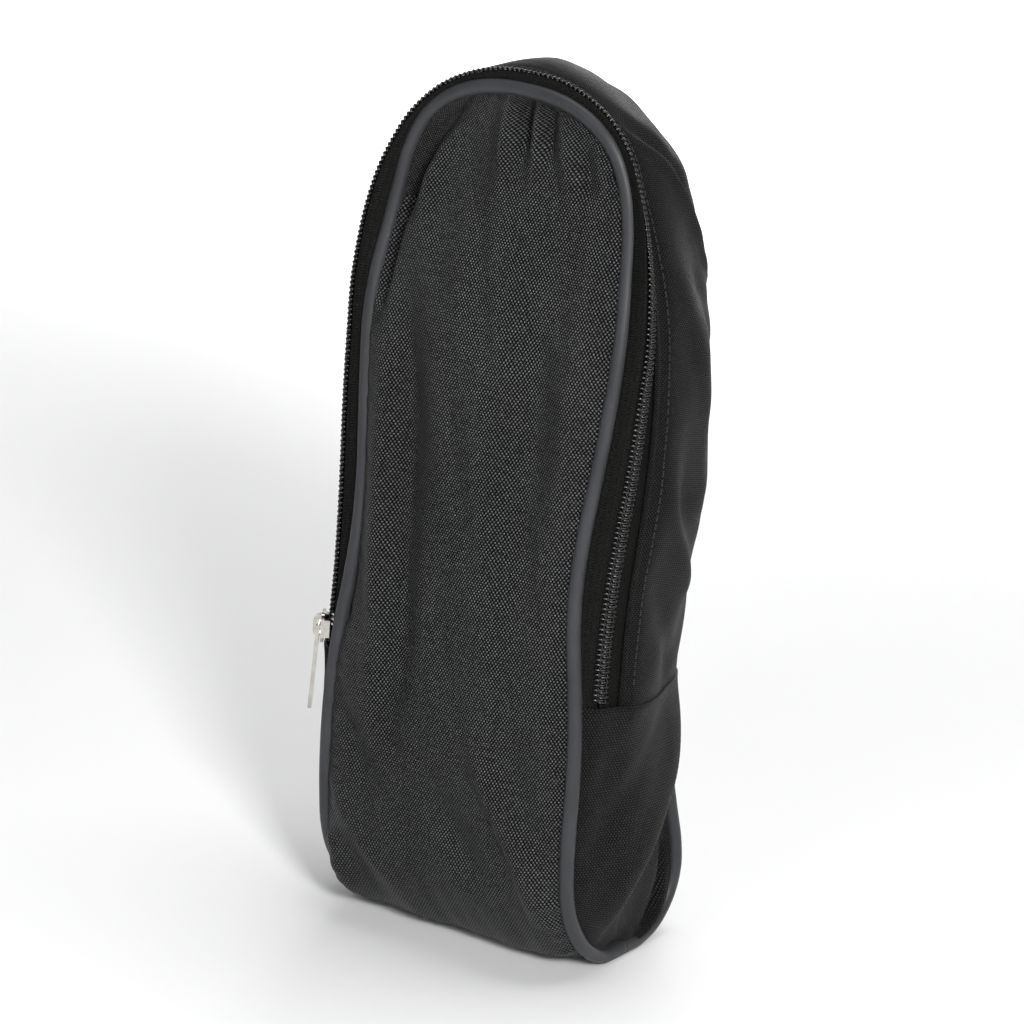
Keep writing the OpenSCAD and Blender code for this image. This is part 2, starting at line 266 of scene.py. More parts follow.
def cloth(name, p, uv, thickness, outward):
    """A sewn panel with real thickness: p is its outer face, rows by columns; outward is a rough normal."""
    rows, cols = p.shape[:2]
    points = rows * cols
    normals = grid_normals(p)
    flip = np.sum(normals * outward) < 0
    inner = p + normals * thickness if flip else p - normals * thickness
    outer_faces = grid_faces(rows, cols, 0, flip)
    inner_faces = grid_faces(rows, cols, points, not flip)
    rim = np.concatenate([
        np.arange(cols), np.arange(1, rows) * cols + cols - 1,
        (rows - 1) * cols + np.arange(cols - 2, -1, -1), np.arange(rows - 2, 0, -1) * cols,
    ])
    following = np.roll(rim, -1)
    sides = np.stack([rim, following, following + points, rim + points], axis=1)
    if flip:
        sides = sides[:, ::-1]
    verts = np.vstack([p.reshape(-1, 3), inner.reshape(-1, 3)])
    uvs = np.vstack([uv.reshape(-1, 2), uv.reshape(-1, 2)])
    return add_mesh(name, verts, np.vstack([outer_faces, inner_faces, sides]), uvs)


def sweep(name, centre, across, up, section):
    """Closed solid that carries a closed [across, up] section along a line of centres."""
    section = np.asarray(section, float)
    n, m = len(centre), len(section)
    rings = (centre[:, None] + across[:, None] * section[None, :, :1] + up[:, None] * section[None, :, 1:])
    i = np.arange(n - 1)[:, None] * m
    k = np.arange(m)[None, :]
    nxt = (k + 1) % m
    quads = np.stack([i + k, i + nxt, i + m + nxt, i + m + k], axis=-1).reshape(-1, 4).tolist()
    quads.append(list(range(m - 1, -1, -1)))
    quads.append(list(range((n - 1) * m, n * m)))
    s = arc_length(centre)
    girth = arc_length(np.vstack([section, section[:1]]))[:-1]
    uv = np.stack(np.broadcast_arrays(girth[None, :], s[:, None]), axis=-1)
    return add_mesh(name, rings.reshape(-1, 3), quads, uv.reshape(-1, 2))


def circle(r, sides):
    a = 2 * math.pi * np.arange(sides) / sides
    return np.stack([r * np.cos(a), r * np.sin(a)], axis=1)


def copies(name, template, faces, origin, x, y, z):
    """Many copies of one small mesh, each set on its own axes."""
    verts = (origin[:, None] + template[None, :, 0, None] * x[:, None]
             + template[None, :, 1, None] * y[:, None] + template[None, :, 2, None] * z[:, None])
    m = len(template)
    all_faces = []
    for i in range(len(origin)):
        all_faces.extend([[k + i * m for k in f] for f in faces])
    return add_mesh(name, verts.reshape(-1, 3), all_faces)


def tube_template(path, radii, sides):
    """Small closed tube along a path, as points and faces."""
    path = np.asarray(path, float)
    # the tilt keeps this direction off the path of a stitch, which runs straight along y at its middle
    reference = np.array([0.0, 1.0, 0.013])
    t = unit(np.gradient(path, axis=0))
    side = unit(np.cross(t, reference))
    up = np.cross(side, t)
    a = 2 * math.pi * np.arange(sides) / sides
    rings = (path[:, None] + np.asarray(radii)[:, None, None]
             * (np.cos(a)[None, :, None] * side[:, None] + np.sin(a)[None, :, None] * up[:, None]))
    n = len(path)
    faces = []
    for i in range(n - 1):
        for k in range(sides):
            j = (k + 1) % sides
            faces.append([i * sides + k, (i + 1) * sides + k, (i + 1) * sides + j, i * sides + j])
    faces.append(list(range(sides)))
    faces.append(list(range(n * sides - 1, (n - 1) * sides - 1, -1)))
    return rings.reshape(-1, 3), faces


def ridges(folds, x, z):
    """Sum of listed folds at (x, z). Each is (height, width on the left, width on the right, points).

    The sides are as seen along the points' direction, and a fold fades out towards both of its ends."""
    total = np.zeros(np.shape(x))
    for height, left_w, right_w, points in folds:
        p = np.array(points, float)
        run = arc_length(p)
        best = np.full(np.shape(x), np.inf)
        offset = np.zeros(np.shape(x))
        place = np.zeros(np.shape(x))
        for k in range(len(p) - 1):
            d = p[k + 1] - p[k]
            length = np.linalg.norm(d)
            t = np.clip(((x - p[k, 0]) * d[0] + (z - p[k, 1]) * d[1]) / length**2, 0, 1)
            dx = x - p[k, 0] - t * d[0]
            dz = z - p[k, 1] - t * d[1]
            dist = np.hypot(dx, dz)
            closer = dist < best
            best = np.where(closer, dist, best)
            offset = np.where(closer, np.sign(d[0] * dz - d[1] * dx) * dist, offset)
            place = np.where(closer, (run[k] + t * length) / run[-1], place)
        width = np.where(offset > 0, left_w, right_w)
        taper = np.sin(np.pi * np.clip(place, 0.03, 0.97)) ** 0.45
        total += height * taper * np.exp(-0.5 * (best / width) ** 2)
    return total


def soft_noise(x, z, waves, seed):
    """Smooth low relief from a few seeded waves, each (wavelength in x, wavelength in z, height)."""
    local = np.random.default_rng(seed)
    total = np.zeros(np.shape(x))
    for wx, wz, height in waves:
        for _ in range(3):
            a, b, c = local.uniform(0.8, 1.25, 2).tolist() + [local.uniform(0, 2 * math.pi)]
            tilt = local.uniform(-0.35, 0.35)
            total += height / 1.7 * np.sin(2 * math.pi * (x / (wx * a) + (z + tilt * x) / (wz * b)) + c)
    return total


# ------------------------------------------------------------------ camera, floor and lights

def look_frame(azimuth, elevation, roll):
    """Right, up and back directions of a camera, from angles in degrees."""
    a, e, r = map(math.radians, (azimuth, elevation, roll))
    back = Vector((math.sin(a) * math.cos(e), -math.cos(a) * math.cos(e), math.sin(e)))
    right = Vector((math.cos(a), math.sin(a), 0))
    up = back.cross(right)
    return (right * math.cos(r) + up * math.sin(r), up * math.cos(r) - right * math.sin(r), back)


def make_camera():
    """Camera at the right front, a little above the bag and tilted by a few degrees."""
    right, up, back = look_frame(azimuth=30, elevation=16, roll=6.0)
    distance = 1.5
    # distance from the target, divided by the width of what the camera sees there
    zoom = 3.80859375
    # a point in the bag's middle, shifted by about a millimetre to centre the view
    target = Vector((0, -0.015, 0.175)) - right * 0.00115 - up * 0.00077
    data = bpy.data.cameras.new("camera")
    data.sensor_width = 36
    data.lens = data.sensor_width * zoom
    data.clip_start = 0.05
    cam = bpy.data.objects.new("camera", data)
    cam.matrix_world = Matrix.Translation(target + back * distance) @ Matrix((
        (right.x, up.x, back.x), (right.y, up.y, back.y), (right.z, up.z, back.z))).to_4x4()
    bpy.context.scene.collection.objects.link(cam)
    bpy.context.scene.camera = cam


def area_light(name, at, target, size, power):
    """Rectangular soft box that faces a target."""
    data = bpy.data.lights.new(name, "AREA")
    data.shape = "RECTANGLE"
    data.size, data.size_y = size
    data.energy = power
    light = bpy.data.objects.new(name, data)
    at, target = Vector(at), Vector(target)
    light.location = at
    light.rotation_euler = (at - target).to_track_quat("Z", "Y").to_euler()
    bpy.context.scene.collection.objects.link(light)


class Shader:
    """A material and a short way to add nodes to it."""

    def __init__(self, name):
        self.material = bpy.data.materials.new(name)
        self.material.use_nodes = True
        self.tree = self.material.node_tree
        self.bsdf = self.tree.nodes["Principled BSDF"]

    def node(self, kind, inputs=(), **settings):
        n = self.tree.nodes.new(kind)
        for key, value in settings.items():
            setattr(n, key, value)
        for key, value in dict(inputs).items():
            self.put(n.inputs[key], value)
        return n

    def put(self, socket, value):
        if isinstance(value, bpy.types.NodeSocket):
            self.tree.links.new(value, socket)
        else:
            socket.default_value = value

    def math(self, operation, a, b=0.0, c=0.0):
        return self.node("ShaderNodeMath", {0: a, 1: b, 2: c}, operation=operation).outputs[0]

    def mix(self, amount, a, b):
        n = self.node("ShaderNodeMix", data_type="RGBA")
        self.put(n.inputs[0], amount)
        self.put(n.inputs[6], a)
        self.put(n.inputs[7], b)
        return n.outputs[2]

    def noise(self, where, scale, detail=3.0, rough=0.5):
        n = self.node("ShaderNodeTexNoise", {"Vector": where, "Scale": scale, "Detail": detail,
                                             "Roughness": rough})
        return n.outputs["Fac"]

    def span(self, value, low, high, to_low, to_high):
        n = self.node("ShaderNodeMapRange", {0: value, 1: low, 2: high, 3: to_low, 4: to_high})
        return n.outputs[0]

    def bump(self, height, distance, strength=1.0):
        inputs = {"Height": height, "Distance": distance, "Strength": strength}
        return self.node("ShaderNodeBump", inputs).outputs[0]

    def surface(self, **values):
        names = {"color": "Base Color", "rough": "Roughness", "normal": "Normal", "metal": "Metallic",
                 "sheen": "Sheen Weight", "sheen_rough": "Sheen Roughness", "specular": "Specular IOR Level"}
        for key, value in values.items():
            self.put(self.bsdf.inputs[names[key]], value)
        return self.material


def grey(level, warm=0.0):
    """A grey as a colour; warm tints it a little to red, or to blue below zero."""
    return (level * (1 + warm), level, level * (1 - warm), 1)


def woven(name, level, warm, pitch, rough, depth=1.0, dust=0.25):
    """Plain-woven polyester: pitch is (across, along) in millimetres of cloth, depth the contrast between
    the painted shade in the yarns' valleys and the painted highlights on their crests.

    The yarns are partly metallic with hardly any specular layer, so highlights take their dark colour."""
    s = Shader(name)
    cloth_uv = s.node("ShaderNodeUVMap", uv_map="cloth").outputs[0]
    drift = s.noise(cloth_uv, 0.09, 2.0)
    axes = s.node("ShaderNodeSeparateXYZ", {0: cloth_uv}).outputs
    wobble = s.math("MULTIPLY", s.math("SUBTRACT", drift, 0.5), 0.5)
    across = s.math("MULTIPLY", s.math("ADD", axes[0], s.math("MULTIPLY", wobble, 0.4)), math.pi / pitch[0])
    up = s.math("MULTIPLY", s.math("ADD", axes[1], wobble), math.pi / pitch[1])
    sin_a, sin_u = s.math("SINE", across), s.math("SINE", up)
    over = s.math("MULTIPLY", sin_a, sin_u)
    weft = s.math("MULTIPLY_ADD", s.math("ABSOLUTE", sin_u), 0.55, s.math("MULTIPLY", over, 0.6))
    warp = s.math("MULTIPLY_ADD", s.math("ABSOLUTE", sin_a), 0.45, s.math("MULTIPLY", over, -0.5))
    yarn = s.math("MAXIMUM", weft, warp)
    place = s.node("ShaderNodeTexCoord").outputs["Object"]
    fuzz = s.noise(place, 2600.0, 2.0, 0.6)
    patch = s.noise(place, 14.0, 4.0, 0.55)
    slub = s.noise(s.node("ShaderNodeCombineXYZ", {
        0: s.math("MULTIPLY", axes[0], 0.05), 1: s.math("MULTIPLY", axes[1], 0.8)}).outputs[0], 1.0, 2.0)
    height = s.math("ADD", yarn, s.math("MULTIPLY", fuzz, 0.25))
    height = s.math("ADD", height, s.math("MULTIPLY", slub, 0.35))
    # the yarns' crests are painted lighter as highlights, a few spots brighter still as painted glints, and
    # the valleys between them painted dark as shade
    float_up = s.math("MULTIPLY_ADD", s.math("ABSOLUTE", sin_u), 0.4, s.math("MULTIPLY", over, 0.7))
    painted_crest_light = s.span(float_up, 0.0, 1.0, 0.0, 1.0)
    painted_glint = s.span(s.noise(place, 1100.0, 1.0), 0.3, 0.75, 0.45, 1.5)
    tone = s.math("MULTIPLY", s.math("MULTIPLY", painted_crest_light, painted_glint), s.span(patch, 0.3, 0.7, 0.82, 1.18))
    # colours of the painted shade in the valleys and the painted highlights on the crests
    painted_valley_shade, painted_crest_highlight = grey(level * (1.6 - 1.55 * depth), warm), grey(level * (1.6 + 4.4 * depth), warm)
    colour = s.mix(s.math("MINIMUM", tone, 1.0), painted_valley_shade, painted_crest_highlight)
    speck = s.span(s.noise(place, 900.0, 1.0), 0.74, 0.78, 0.0, dust)
    colour = s.mix(speck, colour, grey(0.12))
    return s.surface(
        color=colour, rough=s.span(yarn, 0.0, 1.0, rough + 0.2, rough - 0.1), specular=0.1, metal=0.6,
        normal=s.bump(height, 0.0003, 1.0), sheen=0.02, sheen_rough=0.45)


def knitted_tape(name):
    """Zip tape: fine herringbone ribs."""
    s = Shader(name)
    uv = s.node("ShaderNodeUVMap", uv_map="cloth").outputs[0]
    axes = s.node("ShaderNodeSeparateXYZ", {0: uv}).outputs
    column = s.math("MULTIPLY", axes[0], math.pi / 1.3)
    rib = s.math("ABSOLUTE", s.math("SINE", column))
    slope = s.math("PINGPONG", axes[0], 1.3)
    diagonal = s.math("MULTIPLY", s.math("ADD", axes[1], slope), math.pi / 1.1)
    row = s.math("ABSOLUTE", s.math("SINE", diagonal))
    knit = s.math("MULTIPLY", s.math("MULTIPLY_ADD", rib, 0.4, 0.6), row)
    fuzz = s.noise(s.node("ShaderNodeTexCoord").outputs["Object"], 1900.0, 3.0)
    loops = s.noise(uv, 1.5, 1.0)
    height = s.math("ADD", s.math("MULTIPLY", knit, 0.5), s.math("MULTIPLY", loops, 1.1))
    # the knit's hollows are painted nearly black as shade and its raised loops lighter
    colour = s.mix(s.span(height, 0.45, 1.15, 0.0, 1.0), grey(0.0012), (0.015, 0.015, 0.014, 1))
    return s.surface(color=colour, rough=s.span(fuzz, 0.3, 0.7, 0.7, 0.85), specular=0.03,
                     normal=s.bump(height, 0.0003, 1.0))


def vinyl(name):
    """Smooth dark-grey piping with faint extrusion lines, scuffs and dust."""
    s = Shader(name)
    place = s.node("ShaderNodeTexCoord").outputs["Object"]
    uv = s.node("ShaderNodeUVMap", uv_map="cloth").outputs[0]
    axes = s.node("ShaderNodeSeparateXYZ", {0: uv}).outputs
    drawn = s.noise(s.node("ShaderNodeCombineXYZ", {
        0: s.math("MULTIPLY", axes[0], 2.2), 1: s.math("MULTIPLY", axes[1], 0.03)}).outputs[0], 1.0, 3.0)
    patch = s.noise(place, 45.0, 3.0)
    scuff = s.noise(place, 420.0, 4.0, 0.7)
    pores = s.noise(place, 3200.0, 2.0)
    colour = s.mix(s.span(patch, 0.3, 0.7, 0.0, 1.0), (0.026, 0.027, 0.03, 1), (0.036, 0.037, 0.041, 1))
    colour = s.mix(s.span(scuff, 0.62, 0.75, 0.0, 0.35), colour, grey(0.11))
    rough = s.math("ADD", s.span(scuff, 0.3, 0.7, 0.36, 0.5), s.math("MULTIPLY", drawn, 0.08))
    height = s.math("ADD", s.math("MULTIPLY", drawn, 0.8), s.math("MULTIPLY", pores, 0.25))
    return s.surface(color=colour, rough=rough, specular=0.3, normal=s.bump(height, 0.00006, 0.6))


def nylon(name, level, rough):
    """Drawn nylon of the zip's coil and the sewing thread."""
    s = Shader(name)
    place = s.node("ShaderNodeTexCoord").outputs["Object"]
    grain = s.noise(place, 1500.0, 3.0)
    colour = s.mix(grain, grey(level * 0.6), grey(level * 1.4))
    return s.surface(color=colour, rough=s.span(grain, 0.3, 0.7, rough - 0.06, rough + 0.1), specular=0.85,
                     normal=s.bump(grain, 0.00003, 0.5))


def thread(name, level):
    """Twisted polyester sewing thread."""
    s = Shader(name)
    place = s.node("ShaderNodeTexCoord").outputs["Object"]
    ply = s.node("ShaderNodeTexWave", {"Vector": place, "Scale": 1400.0, "Distortion": 1.5},
                 bands_direction="DIAGONAL").outputs["Fac"]
    fuzz = s.noise(place, 4000.0, 2.0)
    colour = s.mix(ply, grey(level * 0.5), grey(level * 1.3))
    height = s.math("ADD", ply, s.math("MULTIPLY", fuzz, 0.4))
    return s.surface(color=colour, rough=s.span(fuzz, 0.3, 0.7, 0.5, 0.7), specular=0.5,
                     normal=s.bump(height, 0.00008, 0.8), sheen=0.1)


def nickel(name):
    """Polished nickel plate with fine polishing lines, small dents and dulled spots."""
    s = Shader(name)
    place = s.node("ShaderNodeTexCoord").outputs["Object"]
    stretched = s.node("ShaderNodeMapping", {"Vector": place, "Scale": (1, 1, 0.12)}).outputs[0]
    brushed = s.noise(stretched, 5200.0, 3.0, 0.6)
    smear = s.noise(place, 380.0, 3.0)
    dents = s.noise(place, 260.0, 2.0)
    colour = s.mix(s.span(smear, 0.4, 0.7, 0.0, 1.0), (0.42, 0.4, 0.36, 1), (0.52, 0.5, 0.46, 1))
    rough = s.math("ADD", s.span(smear, 0.35, 0.7, 0.08, 0.2), s.math("MULTIPLY", brushed, 0.08))
    height = s.math("ADD", s.math("MULTIPLY", brushed, 0.08), dents)
    return s.surface(color=colour, metal=1.0, rough=rough, normal=s.bump(height, 0.00012, 0.5))


def plain_floor(name):
    """Pale, dull studio floor with hardly any change of tone."""
    s = Shader(name)
    place = s.node("ShaderNodeTexCoord").outputs["Object"]
    tone = s.noise(place, 3.0, 2.0)
    return s.surface(color=s.mix(tone, (0.86, 0.86, 0.86, 1), (0.88, 0.88, 0.88, 1)), rough=0.9)


def make_stage():
    """A pale studio floor, flat round the bag and curving up like a dish far from it."""
    reach, flat_r, cells = 3.2, 1.6, 65
    across = np.linspace(-reach, reach, cells)
    x, y = np.meshgrid(across, across)
    bend = np.clip(np.hypot(x, y), flat_r, reach) - flat_r
    p = np.stack([x, y, 0.4 * bend**2], axis=-1) / MM
    stage = add_mesh("floor_sweep", p.reshape(-1, 3), grid_faces(cells, cells, 0, True), closed=False)
    stage.data.materials.append(plain_floor("floor"))


def backdrop_spot(name, at, power):
    """A soft lamp that points straight down at the far floor and misses the bag."""
    spot = bpy.data.lights.new(name, "SPOT")
    spot.energy = power
    spot.spot_size = math.radians(95)
    spot.spot_blend = 1.0
    spot.shadow_soft_size = 0.4
    lamp = bpy.data.objects.new(name, spot)
    lamp.location = at
    bpy.context.scene.collection.objects.link(lamp)


def make_light():
    """Soft studio light: key from the right front, top light, fills, and spots that whiten the far floor."""
    world = bpy.data.worlds.new("studio")
    world.use_nodes = True
    world.node_tree.nodes["Background"].inputs[0].default_value = (0.93, 0.95, 1.0, 1)
    world.node_tree.nodes["Background"].inputs[1].default_value = 0.09
    bpy.context.scene.world = world
    middle = (0, 0, 0.17)
    area_light("key", (1.12, -1.2, 0.95), middle, (0.32, 0.42), 31)
    area_light("front_fill", (0.1, -1.7, 0.9), middle, (0.4, 0.6), 5)
    area_light("top", (0.1, 0.2, 1.9), middle, (1.2, 1.2), 21)
    area_light("back_fill", (-0.8, 1.7, 0.9), middle, (0.5, 0.6), 7)
    backdrop_spot("backdrop", (-0.9, 2.4, 2.2), 420)
    backdrop_spot("backdrop_front", (1.2, -2.5, 2.2), 60)
    view = bpy.context.scene.view_settings
    view.view_transform = "Standard"
    view.look = "None"


make_camera()
make_stage()
make_light()

fabric_front = woven("polyester_front", 0.0225, -0.02, (0.62, 0.98), 0.44)
# the gusset is the same cloth as the front panels; its much lower level paints in the shade that makes the
# side look darker
fabric_gusset_painted_darker = woven("polyester_gusset_painted_darker", 0.0080, 0.02, (0.6, 0.8), 0.55, depth=0.7)
fabric_lining = woven("binding_tape", 0.02, 0.0, (0.6, 0.6), 0.6)
tape_cloth = knitted_tape("zip_tape")
piping_vinyl = vinyl("piping_vinyl")
coil_nylon = nylon("coil_nylon", 0.004, 0.2)
sewing_thread = thread("sewing_thread", 0.006)
metal = nickel("nickel_plate")


def finish_piece(obj, material, nodes=(), bend=None):
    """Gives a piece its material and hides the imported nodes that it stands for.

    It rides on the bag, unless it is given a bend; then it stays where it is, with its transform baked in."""
    obj.data.materials.clear()
    obj.data.materials.append(material)
    if nodes:
        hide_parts(*nodes)
    if bend is None:
        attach(obj, "bag")
    else:
        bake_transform(obj)


# ------------------------------------------------------------------ main panel

# folds of the main panels in the front view, as ridges() takes them; those below zero are grooves
FRONT_FOLDS = [
    (-9.5, 3.4, 3.8, [(-28, 332), (-37, 320), (-42, 305), (-44, 291)]),
    (-5.5, 1.8, 2.8, [(-42, 296), (-45, 282), (-47, 266), (-48, 248)]),
    (2.6, 3.5, 2.2, [(-29, 319), (-34, 304), (-35.5, 290)]),
    (3.2, 8, 12, [(3, 320), (6, 262), (9, 205), (12, 158), (17, 116), (21, 80)]),
    (1.4, 7, 7, [(-12, 300), (-15, 240), (-13, 180), (-9, 130)]),
    (-3.2, 4.5, 5.5, [(-36, 262), (-29, 214), (-24, 168), (-21, 128), (-25, 84)]),
    (2.6, 4, 4, [(-42, 225), (-38, 172), (-34, 128), (-33, 92)]),
    (-1.8, 7, 8, [(26, 280), (24, 220), (25, 165), (29, 120)]),
    (1.0, 5, 5, [(40, 300), (41, 250), (38, 200), (39, 160)]),
    (3.0, 6, 2.6, [(14, 92), (27, 68), (37, 52), (45, 30)]),
    (-2.2, 4, 5, [(2, 66), (12, 50), (22, 34)]),
    (-4.2, 2.2, 2.4, [(1.5, 342), (4, 331), (6.5, 319)]),
    (2.4, 2.2, 2.6, [(-4, 340), (-3, 326), (-2, 306)]),
    (-3.2, 1.9, 2.2, [(12, 341), (13.5, 331), (15.5, 320)]),
    (2.2, 2.2, 2.6, [(8.2, 339), (9.6, 326), (11, 310)]),
    (2.0, 2.4, 3.2, [(20, 334), (23, 322), (27, 306)]),
    (-2.0, 2.2, 3.0, [(28, 328), (31, 318), (34, 306)]),
    (-1.6, 4, 4, [(-46, 48), (-40, 36), (-32, 24)]),
    (2.4, 4, 5, [(-51, 62), (-40, 42), (-24, 26)]),
    (-2.0, 4, 4, [(-48, 96), (-38, 76), (-28, 56)]),
    (4.4, 6, 6, [(-55, 40), (-52, 25), (-44, 13)]),
    (-3.0, 2.0, 3.2, [(-48, 150), (-49.5, 137), (-50, 122)]),
]
BACK_FOLDS = [
    (1.8, 8, 11, [(-8, 300), (-12, 230), (-6, 160), (-14, 110)]),
    (-1.6, 7, 7, [(14, 280), (18, 210), (12, 150)]),
    (1.5, 5, 8, [(30, 170), (20, 130), (4, 100)]),
    (-1.8, 4, 6, [(-46, 96), (-24, 90), (6, 94), (34, 88)]),
    (1.4, 4, 5, [(-44, 80), (-18, 74), (16, 78), (44, 70)]),
    (1.2, 2.4, 3, [(-6, 330), (-4, 316), (-3, 300)]),
    (-1.3, 2.4, 3, [(5, 330), (7, 317), (8, 304)]),
]
PANEL_PUCKERS = [(11, 0.35), (6, 0.2)]


def profile_normals(seam, way):
    """Outward direction of a panel's profile as seen from the side; way is -1 in front and 1 behind."""
    d = np.gradient(seam[:, 1:], axis=0)
    at_crown = np.abs(np.gradient(seam[:, 0])) > np.abs(d[:, 1]) * 1.5
    d[at_crown] = [0, -1]
    d = unit(smoothed(unit(d), 15))
    return np.stack([np.zeros(len(d)), way * -d[:, 1], way * d[:, 0]], axis=1)


def seam_distance(x, z, line):
    """Distance of each point of a flat panel from its seam, measured in the front view."""
    outline = line.p[:, [0, 2]]
    outline = outline[outline[:, 1] > 20]
    d = np.full(x.shape, np.inf)
    for seam_x, seam_z in outline[::2]:
        d = np.minimum(d, np.hypot(np.abs(x) - seam_x, z - seam_z))
    return d


def puckers(run, edge, middle, waves, seed):
    """Small gathers along a seam, strongest at a distance from it; waves are (wavelength, height)."""
    ripple = soft_noise(run, 0 * run, [(wave, ENDLESS, height) for wave, height in waves], seed)
    return ripple * np.exp(-((edge - middle) / 3.5) ** 2)


def lay_panel(line, way, cols):
    """A flat panel between the two halves of a seam line, before it is shaped.

    Returns the seam's points on the right, the panel's points (rows down, columns across) and its outward
    directions, and for each point its distance along the cloth from the base's middle and from the seam."""
    row_step = 1.6
    first_row = 0.8
    # below this height the panel turns under the bag, and its distance from the seam goes by the columns
    base_z = 25
    # columns lie closer together near the seams, evenly spaced over this much of a quarter turn
    crowding = math.pi / 2 * 0.92
    s = np.append(np.arange(first_row, line.length, row_step), line.length)
    seam = line.at(s)
    across = np.sin(np.linspace(-1, 1, cols) * crowding) / math.sin(crowding)
    x = seam[:, None, 0] * across
    p = np.stack([x, seam[:, None, 1] + 0 * x, seam[:, None, 2] + 0 * x], axis=-1)
    run = line.length - s[:, None] + 0 * x
    edge = np.where(seam[:, None, 2] > base_z, seam_distance(x, p[..., 2], line),
                    seam[:, None, 0] * (1 - np.abs(across)))
    return seam, p, profile_normals(seam, way)[:, None], run, edge


def panel_piece(name, p, run, out, lift, nodes, bend=None):
    """A main panel from its flat points, lifted outwards."""
    uv = np.stack([p[..., 0], run], axis=-1)
    obj = cloth(name, p + out * lift[..., None], uv, CLOTH_T, out)
    finish_piece(obj, fabric_front, nodes, bend)


def main_panel_front():
    seam, p, out, run, edge = lay_panel(front, -1, 111)
    x, z = p[..., 0], p[..., 2]
    near_top = smoothstep(z, 270, 335)
    above_base = smoothstep(z, 25, 60) * (1 - smoothstep(z, 60, 110))
    near_base = 1 - smoothstep(z, 6, 30)
    upper_left = smoothstep(-x, 20, 50) * smoothstep(z, 150, 270) * (1 - smoothstep(z, 300, 330))
    crown = 6.8 - 2.6 * near_top - 1.2 * above_base + 1.5 * near_base + 2.2 * upper_left
    puff = crown * (1 - np.exp(-edge / 6.0)) - 1.6 * np.exp(-edge / 2.2)
    relief = 1.5 * ridges(FRONT_FOLDS, x, z) * (1 - np.exp(-edge / 2.5))
    relief += soft_noise(x, z, [(44, 130, 0.6), (21, 60, 0.2), (11, 28, 0.1)], 3) * (1 - np.exp(-edge / 8.0))
    relief += puckers(run, edge, 4.5, PANEL_PUCKERS, 5)
    # the base lies flat on the floor
    off_floor = smoothstep(z, 2, 13)
    lift = puff * (0.15 + 0.85 * off_floor) + relief * off_floor
    panel_piece("main_panel_front", p, run, out, lift, ("front_flap_panel", "front_base_panel"),
                CLOTH_BEND)


def main_panel_back():
    seam, p, out, run, edge = lay_panel(rear, 1, 91)
    x, z = p[..., 0], p[..., 2]
    inland = 1 - np.exp(-edge / 8.0)
    puff = 5.2 * inland - 1.4 * np.exp(-edge / 2.2)
    relief = ridges(BACK_FOLDS, x, z) * (1 - np.exp(-edge / 5.0))
    relief += soft_noise(x, z, [(45, 110, 0.7), (24, 55, 0.3), (13, 28, 0.12)], 8) * inland
    relief += puckers(run, edge, 4.5, PANEL_PUCKERS, 9)
    off_floor = smoothstep(z, 2, 22)
    lift = puff * (0.15 + 0.85 * off_floor) + relief * off_floor
    panel_piece("main_panel_back", p, run, out, lift, ("back_panel",))


# ------------------------------------------------------------------ gusset

# folds of the gusset strip, whose points are the distance along the zip from the crown, below zero on the
# left, and the distance across from the hem
GUSSET_FOLDS = [
    (2.7, 8, 12, [(-6, 4), (-3, 24), (2, 56)]),
    (-5.0, 3.4, 4.5, [(33, 0), (54, 24), (80, 60)]),
    (3.6, 4.5, 2.4, [(41, 0), (62, 24), (90, 60)]),
    (2.2, 7, 4.5, [(88, 4), (116, 18), (148, 32), (186, 44)]),
    (-2.6, 6, 7, [(84, 30), (112, 44), (140, 58)]),
    (2.6, 4.5, 5, [(176, 4), (200, 20), (226, 40)]),
    (-2.8, 6, 7, [(150, 14), (180, 22), (204, 40)]),
    (-2.4, 5, 6, [(214, 6), (236, 20), (262, 38)]),
    (-1.6, 9, 8, [(-38, 2), (-36, 30), (-34, 60)]),
    (2.0, 5, 6, [(-50, 6), (-64, 26), (-80, 46)]),
    (2.0, 6, 8, [(-100, 10), (-140, 24), (-176, 34)]),
    (-1.8, 7, 7, [(-160, 12), (-200, 20), (-236, 34)]),
    (1.6, 6, 6, [(-206, 40), (-228, 30), (-254, 18)]),
]
# height of the gusset's bulge from the crown (0) to the seam that closes the zip (1)
GUSSET_BULGE = [(0, 8), (0.11, 8.4), (0.2, 12.2), (0.27, 11.4), (0.33, 10.8), (0.42, 12.6), (0.6, 11.4),
                (0.75, 11.4), (0.88, 10.6), (1, 9.2)]


def hem_points(f):
    """The folded hem of the gusset beside the zip: rows by the few points of the fold."""
    centre, _, u, v = zip_frame(f)
    hem = from_pairs(HEM_U, f)[:, None]
    return np.stack([centre + u * (hem + du) + v * dv for du, dv in HEM_FOLD], axis=1)


